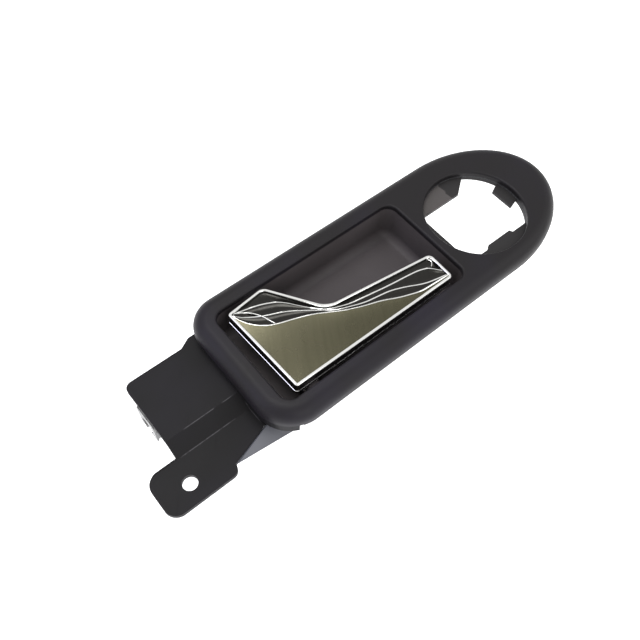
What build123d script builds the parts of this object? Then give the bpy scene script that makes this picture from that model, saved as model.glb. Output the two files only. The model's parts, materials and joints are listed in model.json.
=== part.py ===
"""Interior release handle of a car's left front door, with an opening for a mirror switch.

The frame's origin is the centre of the fixing screw's hole, on the back face of the fixing tab.
+X runs along the handle towards its round end, +Y is up in the car, +Z faces the cabin.
All sizes are in millimetres.
"""

import os
from math import atan2, cos, degrees, hypot, radians, sin

from build123d import *

os.makedirs("parts", exist_ok=True)

# Bezel: a rolled frame with straight sides, rounded left corners and a half-elliptic right end
RIM_Z = 20.5
BEZEL_LEFT_X = 34.3
BEZEL_MID_Y = 21.3
BEZEL_HALF_WIDTH = 34.0
BEZEL_END_X = 166.0
BEZEL_END_LENGTH = 47.2
BEZEL_TOP_CORNER_R = 13.5
BEZEL_LOW_CORNER_R = 17.0
BEZEL_WALL = 2.5
ROLL_R = 6.5
ROLL_INNER_R = 3.2
SKIRT_DEPTH = 8.0
SKIRT_STEP = 0.6
SKIRT_STEP_X = 45.5
WINDOW_EDGE_R = 1.0
PLATE_BACK_Z = RIM_Z - BEZEL_WALL

# Finger bowl
BOWL_LEFT_X = 43.6
BOWL_RIGHT_X = 140.3
BOWL_LOW_Y = -3.7
BOWL_HIGH_Y = 45.4
BOWL_CORNER_R = 5.0
BOWL_FLOOR_Z = 0.5
BOWL_FLOOR_R = 4.0
BOWL_WALL = 2.2
BOWL_MID_X = (BOWL_LEFT_X + BOWL_RIGHT_X) / 2
BOWL_MID_Y = (BOWL_LOW_Y + BOWL_HIGH_Y) / 2
BOWL_LENGTH = BOWL_RIGHT_X - BOWL_LEFT_X
BOWL_HEIGHT = BOWL_HIGH_Y - BOWL_LOW_Y
BOWL_BACK_Z = BOWL_FLOOR_Z - BOWL_WALL

# Deck and fixing tab, one folded plate
PLATE_T = 2.5
DECK_BACK_Z = 5.0
DECK_Z = DECK_BACK_Z + PLATE_T
DECK_LEFT_X = 1.2
DECK_HIGH_Y = 47.3
FOLD_LOW_Y = 10.5
FOLD_HIGH_Y = 17.3
TAB_LEFT_X = -13.3
TAB_RIGHT_X = 17.8
TAB_LOW_Y = -8.3
TAB_HIGH_Y = 11.2
TAB_CORNER_R = 5.5
TAB_NEAR_CORNER_R = 3.4
SCREW_HOLE_R = 3.1

# Pivot, whose axis runs along Y
PIVOT_X = 58.3
PIVOT_Z = 11.5
PIN_R = 2.0
PIN_HEAD_R = 3.4
PIN_HEAD_T = 1.4
PIN_HEAD_EDGE_R = 0.6
PIN_END_CHAMFER = 0.5
PIN_PAST_WASHER = 2.6
PIN_RUNNING_GAP = 0.04
BUSH_R = 3.2
BUSH_FLANGE_R = 3.8
BUSH_FLANGE_T = 1.0
PIVOT_BOSS_R = 5.5
PIVOT_EAR_R = 4.5
PAD_R = 3.5
EAR_T = 1.5
SIDE_GAP = 0.3

# Lever
LEVER_TOP_Z = 21.5
COVER_DEPTH = 6.0
COVER_WALL = 1.5
COVER_EDGE = 0.8
CORE_BELOW_COVER = 1.6
FIT_GAP = 0.2
LOW_BOSS_Y = (0.6, 11.0)
HIGH_BOSS_Y = (30.0, 40.4)
ARM_Y = 34.0
ARM_T = 6.0
ARM_HALF_WIDTH = 3.5
ARM_SIDE_GAP = 1.0
CABLE_Z = -7.5
SEAT_R = 2.6
SEAT_LENGTH = 7.0
SEAT_CHAMFER = 0.3
WIRE_SLOT = 2.4

# Return spring
SPRING_WIRE_R = 0.65
SPRING_R = 4.2
SPRING_LOW_Y = 13.5
SPRING_PITCH = 1.8
SPRING_TURNS = 6
SPRING_RELIEF = 1.4

# Cable bay under the deck and the bowl
BAY_HALF_WIDTH = 4.6
BAY_WALL = 1.8
BAY_LEFT_X = 11.4
BAY_RIGHT_X = 81.0
BAY_BACK_Z = -13.0
SOCKET_LENGTH = 9.5
SOCKET_HALF = 5.6
SOCKET_BORE_R = 3.25
SOCKET_SLOT = 2.6
SOCKET_CORNER_R = 1.5
CLIP_T = 0.8
CLIP_RISE = 1.5
CLIP_BORE_GAP = 0.6
CLIP_SLOT_GAP = 0.5
CLIP_ARM = 6.8
CLIP_ARM_HEIGHT = 6.0
BUFFER_T = 3.0
BUFFER_Z = (-5.0, BOWL_BACK_Z)

# Switch opening and its frame
SWITCH_X = 167.5
SWITCH_Y = 17.8
SWITCH_R = 23.3
FRAME_R = 24.6
GASKET_T = 1.0
FRAME_T = 1.6
FRAME_EAR_R = 2.9
FRAME_TOP_Z = PLATE_BACK_Z - GASKET_T
FRAME_BACK_Z = FRAME_TOP_Z - FRAME_T
PAD_LEFT = -19.6
PAD_LOW = -15.4
PAD_TOP = 13.7
PAD_RIGHT = 17.6
CHORD_LOW = -16.9

# Fasteners
SCREW_R = 1.45
SCREW_CLEARANCE_R = 1.7
SCREW_HEAD_R = 2.3
SCREW_HEAD_T = 1.8
SCREW_BOSS_R = 2.3
CARRIER_SCREWS = [(39.05, 22.0), (39.2, 43.0)]
BOWL_SCREWS = [(75.0, 50.3), (128.0, 50.3), (147.6, -3.2)]
BODY_SCREWS = CARRIER_SCREWS + BOWL_SCREWS
FRAME_SCREWS = [(189.0, 40.0), (190.5, 0.5), (149.0, 43.6)]
BODY_SCREW_HOLE = 9.0
FRAME_SCREW_HOLE = 2.2
BODY_SCREW_LENGTH = 10.0
FRAME_SCREW_LENGTH = 3.6
SCREW_HEAD_CHAMFER = 0.4
RECESS_LENGTH = 3.2
RECESS_WIDTH = 0.8
RECESS_DEPTH = 1.0

FROM_BASE = (Align.CENTER, Align.CENTER, Align.MIN)

# Length by which a cut runs past the piece it cuts
PAST = 10.0


def bezel_outline(z, inset=0.0):
    """Outline of the bezel at height z, drawn inwards by inset."""
    half = BEZEL_HALF_WIDTH - inset
    left = BEZEL_LEFT_X + inset
    with BuildSketch(Plane.XY.offset(z)) as outline:
        with Locations(((left + BEZEL_END_X) / 2, BEZEL_MID_Y)):
            Rectangle(BEZEL_END_X - left, 2 * half)
        fillet(outline.vertices().group_by(Axis.X)[0].sort_by(Axis.Y)[0], BEZEL_LOW_CORNER_R - inset)
        fillet(outline.vertices().group_by(Axis.X)[0].sort_by(Axis.Y)[-1], BEZEL_TOP_CORNER_R - inset)
        with Locations((BEZEL_END_X, BEZEL_MID_Y)):
            Ellipse(BEZEL_END_LENGTH - inset, half)
    return outline.sketch


def bowl_outline(z, growth=0.0):
    """Outline of the finger bowl at height z, drawn outwards by growth."""
    with BuildSketch(Plane.XY.offset(z)) as outline:
        with Locations((BOWL_MID_X, BOWL_MID_Y)):
            RectangleRounded(BOWL_LENGTH + 2 * growth, BOWL_HEIGHT + 2 * growth, BOWL_CORNER_R + growth)
    return outline.sketch


def lever_outline(z, inset=0.0):
    """Boot-shaped outline of the lever at height z, drawn inwards by inset."""
    corners = [(48.4, 41.8), (67.4, 43.6), (83.0, 20.2), (134.4, 13.2), (134.0, -1.6), (50.2, -1.0)]
    radii = [1.6, 4.0, 9.0, 3.0, 2.0, 1.6]
    with BuildSketch(Plane.XY.offset(z)) as outline:
        with BuildLine():
            FilletPolyline(*corners, radius=radii, close=True)
        make_face()
        if inset:
            offset(amount=-inset, kind=Kind.INTERSECTION, mode=Mode.REPLACE)
    return outline.sketch


def y_disc(radius, y):
    """Disc about the pivot axis at the place y along it, ready to be extruded towards +Y."""
    with BuildSketch(Plane.XZ.offset(-y)) as disc:
        with Locations((PIVOT_X, PIVOT_Z)):
            Circle(radius)
    return disc.sketch


def switch_opening(z):
    """Cut-out that the switch's body passes, a circle narrowed by four pads, at height z."""
    far = 30.0
    top_left = [(-far, PAD_TOP), (3.8, PAD_TOP), (13.0, 20.4), (13.0, far), (-far, far)]
    right = [(PAD_RIGHT, 5.1), (24.3, 8.0), (far, 8.0), (far, -4.6), (24.5, -4.6), (PAD_RIGHT, -6.6)]
    bottom = [(-far, CHORD_LOW), (-8.6, CHORD_LOW), (-6.8, PAD_LOW), (6.6, PAD_LOW), (7.4, CHORD_LOW),
              (far, CHORD_LOW), (far, -far), (-far, -far)]
    left = [(PAD_LEFT, far), (PAD_LEFT, -12.6), (-15.0, CHORD_LOW), (-15.0, -far), (-far, -far), (-far, far)]
    with BuildSketch(Plane.XY.offset(z)) as opening:
        with Locations((SWITCH_X, SWITCH_Y)):
            Circle(SWITCH_R)
        for pad in (top_left, right, bottom, left):
            with BuildLine():
                Polyline(*[(SWITCH_X + x, SWITCH_Y + y) for x, y in pad], close=True)
            make_face(mode=Mode.SUBTRACT)
    return opening.sketch


def screw_group(places, head_top_z, length):
    """Pan-head screws driven towards +Z, with their heads just under head_top_z."""
    with BuildPart() as screws:
        with BuildSketch(Plane.XY.offset(head_top_z - SCREW_HEAD_T)):
            with Locations(*places):
                Circle(SCREW_HEAD_R)
        extrude(amount=SCREW_HEAD_T)
        with BuildSketch(Plane.XY.offset(head_top_z)):
            with Locations(*places):
                Circle(SCREW_R)
        extrude(amount=length)
        chamfer(screws.faces().sort_by(Axis.Z)[: len(places)].edges(), SCREW_HEAD_CHAMFER)
        with BuildSketch(Plane.XY.offset(head_top_z - SCREW_HEAD_T)):
            with Locations(*places):
                Rectangle(RECESS_LENGTH, RECESS_WIDTH)
                Rectangle(RECESS_WIDTH, RECESS_LENGTH)
        extrude(amount=RECESS_DEPTH, mode=Mode.SUBTRACT)
    return screws.part


# Bezel: hollow rolled shell with the bowl's window, the switch's hole, screw bosses and clip ribs
RIB_T = 1.6
RIB_WIDTH = 10.0
RIB_BACK_Z = 5.5
CLIP_RIBS = [(205.4, 21.3, 90.0), (101.0, 50.9, 0.0), (118.0, -8.6, 0.0)]
with BuildPart() as bezel:
    extrude(bezel_outline(RIM_Z - SKIRT_DEPTH), amount=SKIRT_DEPTH)
    fillet(bezel.faces().sort_by(Axis.Z)[-1].edges(), ROLL_R)
    with BuildSketch(Plane.XY.offset(RIM_Z - SKIRT_DEPTH - SKIRT_STEP)):
        add(bezel_outline(0))
        with Locations((BEZEL_LEFT_X, BEZEL_MID_Y)):
            Rectangle(2 * (SKIRT_STEP_X - BEZEL_LEFT_X), 2 * BEZEL_HALF_WIDTH, mode=Mode.SUBTRACT)
    extrude(amount=SKIRT_STEP)
    with BuildPart(mode=Mode.PRIVATE) as bezel_hollow:
        extrude(bezel_outline(RIM_Z - SKIRT_DEPTH - 2 * SKIRT_STEP, BEZEL_WALL),
                amount=SKIRT_DEPTH + 2 * SKIRT_STEP - BEZEL_WALL)
        fillet(bezel_hollow.faces().sort_by(Axis.Z)[-1].edges(), ROLL_INNER_R)
    add(bezel_hollow.part, mode=Mode.SUBTRACT)
    with BuildSketch(Plane.XY.offset(DECK_Z)):
        with Locations(*BODY_SCREWS):
            Circle(SCREW_BOSS_R)
    extrude(amount=PLATE_BACK_Z - DECK_Z)
    with BuildSketch(Plane.XY.offset(FRAME_TOP_Z)):
        with Locations(*FRAME_SCREWS):
            Circle(SCREW_BOSS_R)
    extrude(amount=GASKET_T)
    for rib_x, rib_y, rib_turn in CLIP_RIBS:
        with BuildSketch(Plane.XY.offset(RIB_BACK_Z)):
            with Locations(Location((rib_x, rib_y, 0), (0, 0, rib_turn))):
                Rectangle(RIB_WIDTH, RIB_T)
        extrude(amount=PLATE_BACK_Z - RIB_BACK_Z)
    extrude(bowl_outline(PLATE_BACK_Z - 1), amount=BEZEL_WALL + 2, mode=Mode.SUBTRACT)
    with BuildSketch(Plane.XY.offset(PLATE_BACK_Z - 1)):
        with Locations((SWITCH_X, SWITCH_Y)):
            Circle(SWITCH_R)
    extrude(amount=BEZEL_WALL + 2, mode=Mode.SUBTRACT)
    fillet(bezel.faces().filter_by(Plane.XY).sort_by(Axis.Z)[-1].inner_wires().edges(), WINDOW_EDGE_R)
    for place in BODY_SCREWS:
        with Locations((*place, DECK_Z)):
            Cylinder(SCREW_R, BODY_SCREW_HOLE, align=FROM_BASE, mode=Mode.SUBTRACT)
    for place in FRAME_SCREWS:
        with Locations((*place, FRAME_TOP_Z)):
            Cylinder(SCREW_R, FRAME_SCREW_HOLE, align=FROM_BASE, mode=Mode.SUBTRACT)
bezel.part.label = "bezel"
export_step(bezel.part, "parts/bezel.step")

# Sloping guard along the near edge, from the tab's corner to under the bezel
GUARD_T = 1.6
GUARD_START = (TAB_RIGHT_X + 0.1, -4.7, 2.2)
GUARD_HIGH = (46.0, 4.4, 1.2)
GUARD_LOW = (46.0, -5.2, -5.2)
guard_edge = Vector(*GUARD_HIGH) - Vector(*GUARD_START)
guard_fall = Vector(*GUARD_LOW) - Vector(*GUARD_START)
guard_normal = guard_fall.cross(guard_edge).normalized()
guard_plane = Plane(origin=GUARD_START, x_dir=guard_edge, z_dir=guard_normal)
with BuildPart() as side_guard:
    with BuildSketch(guard_plane):
        with BuildLine():
            Polyline(*[guard_plane.to_local_coords(Vector(*corner))
                       for corner in (GUARD_START, GUARD_HIGH, GUARD_LOW)], close=True)
        make_face()
    extrude(amount=GUARD_T)
side_guard.part.label = "side_guard"
export_step(side_guard.part, "parts/side_guard.step")

# Finger bowl: a dished moulding with the pivot ears and three screw lugs. Its collar rests on the
# deck at the left end, under the bezel's plate
COLLAR_T = 1.5
COLLAR_WIDTH = 1.2
LUG_R = 2.4
LUG_REACH = 8.0
BOSS_CLEARANCE = 0.3
RIB_CLEARANCE = 3.0
RIB_GAP = 1.6
SLOT_SIDE_GAP = 0.8
SLOT_TRAVEL = 14.8
SLOT_LEFT_X = PIVOT_X - ARM_HALF_WIDTH - SLOT_SIDE_GAP
SLOT_RIGHT_X = PIVOT_X + SLOT_TRAVEL
STOP_RIBS = [(PIVOT_X - ARM_HALF_WIDTH - SIDE_GAP - BUFFER_T - BAY_WALL, BUFFER_Z[0]),
             (BAY_RIGHT_X - BAY_WALL, BAY_BACK_Z)]
with BuildPart() as finger_bowl:
    extrude(bowl_outline(BOWL_BACK_Z, BOWL_WALL), amount=PLATE_BACK_Z - BOWL_BACK_Z)
    with BuildSketch(Plane.XY.offset(DECK_Z)):
        add(bowl_outline(0, BOWL_WALL + COLLAR_WIDTH))
        with Locations(*BODY_SCREWS):
            Circle(SCREW_BOSS_R + BOSS_CLEARANCE, mode=Mode.SUBTRACT)
        with Locations(*[(x, y) for x, y, turn in CLIP_RIBS[1:]]):
            Rectangle(RIB_WIDTH + RIB_CLEARANCE, RIB_T + RIB_GAP, mode=Mode.SUBTRACT)
        add(bowl_outline(0, BOWL_WALL))
    extrude(amount=COLLAR_T)
    # screw lugs
    with BuildSketch(Plane.XY.offset(DECK_BACK_Z)):
        with Locations(*BOWL_SCREWS):
            Circle(LUG_R)
        with Locations(*[(x, y - LUG_REACH / 2) for x, y in BOWL_SCREWS[:2]]):
            Rectangle(2 * LUG_R, LUG_REACH)
        with Locations(*[(x - LUG_REACH / 2, y) for x, y in BOWL_SCREWS[2:]]):
            Rectangle(LUG_REACH, 2 * LUG_R)
        with Locations(*BOWL_SCREWS):
            Circle(SCREW_CLEARANCE_R, mode=Mode.SUBTRACT)
    extrude(amount=PLATE_T)
    # pivot ears outside the walls
    extrude(y_disc(PIVOT_EAR_R, BOWL_LOW_Y - BOWL_WALL - EAR_T), amount=-(BOWL_WALL + EAR_T))
    extrude(y_disc(PIVOT_EAR_R, BOWL_HIGH_Y), amount=-(BOWL_WALL + EAR_T))
    with BuildPart(mode=Mode.PRIVATE) as bowl_space:
        extrude(bowl_outline(BOWL_FLOOR_Z), amount=PLATE_BACK_Z - BOWL_FLOOR_Z)
        fillet(bowl_space.faces().sort_by(Axis.Z)[0].edges(), BOWL_FLOOR_R)
    add(bowl_space.part, mode=Mode.SUBTRACT)
    # pads that the bush flanges run against
    extrude(y_disc(PAD_R, BOWL_LOW_Y), amount=-(LOW_BOSS_Y[0] - BUSH_FLANGE_T - SIDE_GAP - BOWL_LOW_Y))
    extrude(y_disc(PAD_R, HIGH_BOSS_Y[1] + BUSH_FLANGE_T + SIDE_GAP),
            amount=-(BOWL_HIGH_Y - HIGH_BOSS_Y[1] - BUSH_FLANGE_T - SIDE_GAP))
    extrude(y_disc(PIN_R + PIN_RUNNING_GAP, BOWL_LOW_Y - PAST), amount=-(BOWL_HEIGHT + 2 * PAST),
            mode=Mode.SUBTRACT)
    # cable bay's walls and stop ribs under the floor
    bay_start_x = BOWL_LEFT_X - BOWL_WALL
    with BuildSketch(Plane.XY.offset(BAY_BACK_Z)):
        for side in (-1, 1):
            with Locations(((bay_start_x + BAY_RIGHT_X) / 2, ARM_Y + side * (BAY_HALF_WIDTH + BAY_WALL / 2))):
                Rectangle(BAY_RIGHT_X - bay_start_x, BAY_WALL)
    extrude(amount=BOWL_BACK_Z - BAY_BACK_Z)
    for rib_x, rib_low in STOP_RIBS:
        with BuildSketch(Plane.XY.offset(rib_low)):
            with Locations((rib_x + BAY_WALL / 2, ARM_Y)):
                Rectangle(BAY_WALL, 2 * BAY_HALF_WIDTH)
        extrude(amount=BOWL_BACK_Z - rib_low)
    with BuildSketch(Plane.XY.offset(BOWL_BACK_Z)):
        with Locations(((SLOT_LEFT_X + SLOT_RIGHT_X) / 2, ARM_Y)):
            Rectangle(SLOT_RIGHT_X - SLOT_LEFT_X, ARM_T + 2 * ARM_SIDE_GAP)
    extrude(amount=BOWL_FLOOR_Z - BOWL_BACK_Z, mode=Mode.SUBTRACT)
    add(side_guard.part, mode=Mode.SUBTRACT)
finger_bowl.part.label = "finger_bowl"
export_step(finger_bowl.part, "parts/finger_bowl.step")

# Carrier: folded deck and tab, and the plinth under the bezel's left end
DECK_TOP_Y = 52.2
DECK_STEP = [(28.5, DECK_HIGH_Y), (33.5, DECK_HIGH_Y + 2.6), (50.0, DECK_HIGH_Y + 2.6), (50.0, 1.8)]
DECK_CORNER_R = 3.0
NEAR_EDGE = [(41.5, 1.8), (35.6, 1.2), (33.0, -0.2), (26.0, -2.2), (TAB_RIGHT_X, -4.7)]
PLINTH_INSET = 0.8
PLINTH_T = 1.6
PLINTH_LOW_Z = 6.2
with BuildPart() as carrier:
    with BuildSketch(Plane.YZ.offset(TAB_LEFT_X - 1)):
        with BuildLine():
            Polyline((TAB_LOW_Y - PAST, 0), (FOLD_LOW_Y, 0), (FOLD_HIGH_Y, DECK_BACK_Z),
                     (DECK_TOP_Y, DECK_BACK_Z), (DECK_TOP_Y, DECK_Z), (FOLD_HIGH_Y, DECK_Z),
                     (FOLD_LOW_Y, PLATE_T), (TAB_LOW_Y - PAST, PLATE_T), close=True)
        make_face()
    extrude(amount=SKIRT_STEP_X - TAB_LEFT_X)
    with BuildSketch(Plane.XY.offset(-1)) as deck_plan:
        with BuildLine():
            Polyline((TAB_LEFT_X, TAB_LOW_Y), (TAB_LEFT_X, TAB_HIGH_Y), (DECK_LEFT_X, TAB_HIGH_Y),
                     (DECK_LEFT_X, DECK_HIGH_Y), *DECK_STEP, *NEAR_EDGE, (TAB_RIGHT_X, TAB_LOW_Y),
                     close=True)
        make_face()
        fillet(deck_plan.vertices().group_by(Axis.X)[0], TAB_CORNER_R)
        fillet(deck_plan.vertices().group_by(Axis.Y)[0].sort_by(Axis.X)[-1], TAB_NEAR_CORNER_R)
        fillet(deck_plan.vertices().filter_by(lambda v: abs(v.X - DECK_LEFT_X) < 0.1 and v.Y > ARM_Y),
               DECK_CORNER_R)
    extrude(amount=DECK_Z + PAST, mode=Mode.INTERSECT)
    # plinth that carries the bezel's left end
    with BuildSketch(Plane.XY.offset(PLINTH_LOW_Z)):
        add(bezel_outline(0, PLINTH_INSET))
        add(bezel_outline(0, PLINTH_INSET + PLINTH_T), mode=Mode.SUBTRACT)
        with Locations((BEZEL_END_X, BEZEL_MID_Y)):
            Rectangle(2 * (BEZEL_END_X - SKIRT_STEP_X + 1), 2 * BEZEL_HALF_WIDTH, mode=Mode.SUBTRACT)
    extrude(amount=RIM_Z - SKIRT_DEPTH - PLINTH_LOW_Z)
    # edge that the bowl fits against
    with BuildSketch(Plane.XY.offset(BOWL_BACK_Z)):
        add(bowl_outline(0, BOWL_WALL))
    extrude(amount=PLATE_BACK_Z - BOWL_BACK_Z, mode=Mode.SUBTRACT)
    add(side_guard.part, mode=Mode.SUBTRACT)
    # holes
    with Locations((0, 0, PLATE_T)):
        Hole(SCREW_HOLE_R, PLATE_T)
    for place in CARRIER_SCREWS:
        with Locations((*place, DECK_Z)):
            Hole(SCREW_CLEARANCE_R, PLATE_T)
carrier.part.label = "carrier"
export_step(carrier.part, "parts/carrier.step")

# Lever cover: chrome-plated shell, open at the back
COVER_BACK_Z = LEVER_TOP_Z - COVER_DEPTH
with BuildPart() as lever_cover:
    extrude(lever_outline(COVER_BACK_Z), amount=COVER_DEPTH)
    chamfer(lever_cover.faces().sort_by(Axis.Z)[-1].edges(), COVER_EDGE)
    extrude(lever_outline(COVER_BACK_Z, COVER_WALL), amount=COVER_DEPTH - COVER_WALL, mode=Mode.SUBTRACT)
lever_cover.part.label = "lever_cover"
export_step(lever_cover.part, "parts/lever_cover.step")

# Lever core: moulded insert that fills the cover and holds the pivot bosses and the cable arm
CORE_BACK_Z = COVER_BACK_Z - CORE_BELOW_COVER
CORE_TOP_Z = LEVER_TOP_Z - COVER_WALL - FIT_GAP
ARM_PLAN = [(-5.0, 0.0), (5.0, 0.0), (ARM_HALF_WIDTH, -8.0), (ARM_HALF_WIDTH, CABLE_Z - PIVOT_Z),
            (-ARM_HALF_WIDTH, CABLE_Z - PIVOT_Z), (-ARM_HALF_WIDTH, -8.0)]
with BuildPart() as lever_core:
    extrude(lever_outline(CORE_BACK_Z, COVER_WALL + FIT_GAP), amount=CORE_TOP_Z - CORE_BACK_Z)
    extrude(y_disc(SPRING_R + SPRING_RELIEF, LOW_BOSS_Y[1]), amount=-(HIGH_BOSS_Y[0] - LOW_BOSS_Y[1]),
            mode=Mode.SUBTRACT)
    for low_y, high_y in (LOW_BOSS_Y, HIGH_BOSS_Y):
        extrude(y_disc(PIVOT_BOSS_R, low_y), amount=-(high_y - low_y))
    with BuildSketch(Plane.XZ.offset(-(ARM_Y - ARM_T / 2))):
        with BuildLine():
            Polyline(*[(PIVOT_X + x, PIVOT_Z + z) for x, z in ARM_PLAN], close=True)
        make_face()
        with Locations((PIVOT_X, CABLE_Z)):
            Circle(ARM_HALF_WIDTH + 1.0)
    extrude(amount=-ARM_T)
    for low_y, high_y in (LOW_BOSS_Y, HIGH_BOSS_Y):
        extrude(y_disc(BUSH_R, low_y), amount=-(high_y - low_y), mode=Mode.SUBTRACT)
    # counterbores that clear the bush flanges
    extrude(y_disc(BUSH_FLANGE_R + SIDE_GAP, LOW_BOSS_Y[0] - 4), amount=-4, mode=Mode.SUBTRACT)
    extrude(y_disc(BUSH_FLANGE_R + SIDE_GAP, HIGH_BOSS_Y[1]), amount=-4, mode=Mode.SUBTRACT)
    with BuildSketch(Plane.XZ.offset(-(ARM_Y - ARM_T / 2))):
        with Locations((PIVOT_X, CABLE_Z)):
            Circle(SEAT_R)
    extrude(amount=-ARM_T, mode=Mode.SUBTRACT)
    # slit that lets the cable's wire in from below and behind
    with BuildSketch(Plane.XZ.offset(-(ARM_Y - WIRE_SLOT / 2))):
        with Locations((PIVOT_X - ARM_HALF_WIDTH, CABLE_Z - ARM_HALF_WIDTH)):
            Rectangle(2 * ARM_HALF_WIDTH, 2 * ARM_HALF_WIDTH + 2 * SEAT_R - 2)
    extrude(amount=-WIRE_SLOT, mode=Mode.SUBTRACT)
lever_core.part.label = "lever_core"
export_step(lever_core.part, "parts/lever_core.step")

# Barrel seat for the cable's end, held in the arm's eye
with BuildPart() as cable_seat:
    with BuildSketch(Plane.XZ.offset(-(ARM_Y - SEAT_LENGTH / 2))):
        with Locations((PIVOT_X, CABLE_Z)):
            Circle(SEAT_R)
    extrude(amount=-SEAT_LENGTH)
    chamfer(cable_seat.edges().filter_by(GeomType.CIRCLE), SEAT_CHAMFER)
    with BuildSketch(Plane.XZ.offset(-(ARM_Y - WIRE_SLOT / 2))):
        with Locations((PIVOT_X - SEAT_R, CABLE_Z - SEAT_R / 2)):
            Rectangle(2 * SEAT_R + 1, SEAT_R + 1.6)
    extrude(amount=-WIRE_SLOT, mode=Mode.SUBTRACT)
cable_seat.part.label = "cable_seat"
export_step(cable_seat.part, "parts/cable_seat.step")

# Flanged pivot bushes in the lever's two bosses
BUSH_LENGTH = 8.0
for bush_name, flange_y, body_y in (
    ("pivot_bush_lower", LOW_BOSS_Y[0] - BUSH_FLANGE_T, LOW_BOSS_Y[0]),
    ("pivot_bush_upper", HIGH_BOSS_Y[1], HIGH_BOSS_Y[1] - BUSH_LENGTH),
):
    with BuildPart() as bush:
        extrude(y_disc(BUSH_R, body_y), amount=-BUSH_LENGTH)
        extrude(y_disc(BUSH_FLANGE_R, flange_y), amount=-BUSH_FLANGE_T)
        extrude(y_disc(PIN_R + PIN_RUNNING_GAP, body_y - PAST), amount=-(BUSH_LENGTH + 2 * PAST),
                mode=Mode.SUBTRACT)
    bush.part.label = bush_name
    export_step(bush.part, f"parts/{bush_name}.step")

# Pivot pin with its head at the lower end, and the push-on washer that holds the other end
PIN_HEAD_Y = BOWL_LOW_Y - BOWL_WALL - EAR_T
PIN_END_Y = BOWL_HIGH_Y + BOWL_WALL + EAR_T + PIN_PAST_WASHER
WASHER_T = 0.8
with BuildPart() as pivot_pin:
    extrude(y_disc(PIN_HEAD_R, PIN_HEAD_Y - PIN_HEAD_T), amount=-PIN_HEAD_T)
    fillet(pivot_pin.faces().sort_by(Axis.Y)[0].edges(), PIN_HEAD_EDGE_R)
    extrude(y_disc(PIN_R, PIN_HEAD_Y), amount=-(PIN_END_Y - PIN_HEAD_Y))
    chamfer(pivot_pin.faces().sort_by(Axis.Y)[-1].edges(), PIN_END_CHAMFER)
pivot_pin.part.label = "pivot_pin"
export_step(pivot_pin.part, "parts/pivot_pin.step")

with BuildPart() as pin_washer:
    extrude(y_disc(BUSH_FLANGE_R, BOWL_HIGH_Y + BOWL_WALL + EAR_T), amount=-WASHER_T)
    extrude(y_disc(PIN_R, BOWL_HIGH_Y), amount=-PAST, mode=Mode.SUBTRACT)
pin_washer.part.label = "pin_washer"
export_step(pin_washer.part, "parts/pin_washer.step")

# Return spring: a torsion coil about the pin, with one leg on the bowl and one on the lever
SPRING_LENGTH = SPRING_PITCH * SPRING_TURNS
with BuildPart() as return_spring:
    with BuildLine() as coil:
        Helix(SPRING_PITCH, SPRING_LENGTH, SPRING_R, center=(PIVOT_X, SPRING_LOW_Y, PIVOT_Z),
              direction=(0, 1, 0))
    with BuildSketch(Plane(origin=coil.line @ 0, z_dir=coil.line % 0)):
        Circle(SPRING_WIRE_R)
    sweep(is_frenet=True)
return_spring.part.label = "return_spring"
export_step(return_spring.part, "parts/return_spring.step")

# Rubber buffers that the arm meets at rest and at full travel
TRAVEL_BUFFER_REACH = 16.6
TRAVEL_BUFFER_X = PIVOT_X + TRAVEL_BUFFER_REACH
for buffer_name, buffer_x, buffer_length in (
    ("rest_buffer", PIVOT_X - ARM_HALF_WIDTH - SIDE_GAP - BUFFER_T, BUFFER_T),
    ("travel_buffer", TRAVEL_BUFFER_X, BAY_RIGHT_X - BAY_WALL - TRAVEL_BUFFER_X),
):
    with BuildPart() as buffer:
        with BuildSketch(Plane.XY.offset(BUFFER_Z[0])):
            with Locations((buffer_x + buffer_length / 2, ARM_Y)):
                Rectangle(buffer_length, ARM_T)
        extrude(amount=BUFFER_Z[1] - BUFFER_Z[0])
    buffer.part.label = buffer_name
    export_step(buffer.part, f"parts/{buffer_name}.step")

# Socket for the end of the cable's conduit, with an open slot for the wire and the channel's walls
SOCKET_LEFT_X = BAY_LEFT_X - SOCKET_LENGTH
WALL_START_X = BAY_LEFT_X - 2.0
with BuildPart() as conduit_socket:
    with BuildSketch(Plane.YZ.offset(SOCKET_LEFT_X)):
        with Locations((ARM_Y, CABLE_Z)):
            RectangleRounded(2 * SOCKET_HALF, 2 * SOCKET_HALF, SOCKET_CORNER_R)
        with Locations((ARM_Y, (CABLE_Z + DECK_BACK_Z) / 2)):
            Rectangle(SOCKET_HALF, DECK_BACK_Z - CABLE_Z)
        with Locations((ARM_Y, CABLE_Z)):
            Circle(SOCKET_BORE_R, mode=Mode.SUBTRACT)
        with Locations((ARM_Y, CABLE_Z - SOCKET_HALF)):
            Rectangle(SOCKET_SLOT, 2 * SOCKET_HALF, mode=Mode.SUBTRACT)
    extrude(amount=SOCKET_LENGTH)
    with BuildSketch(Plane.XY.offset(BAY_BACK_Z)):
        for side in (-1, 1):
            wall_y = ARM_Y + side * (BAY_HALF_WIDTH + BAY_WALL / 2)
            with Locations(((WALL_START_X + bay_start_x) / 2, wall_y)):
                Rectangle(bay_start_x - WALL_START_X, BAY_WALL)
    extrude(amount=DECK_BACK_Z - BAY_BACK_Z)
conduit_socket.part.label = "conduit_socket"
export_step(conduit_socket.part, "parts/conduit_socket.step")

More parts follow.
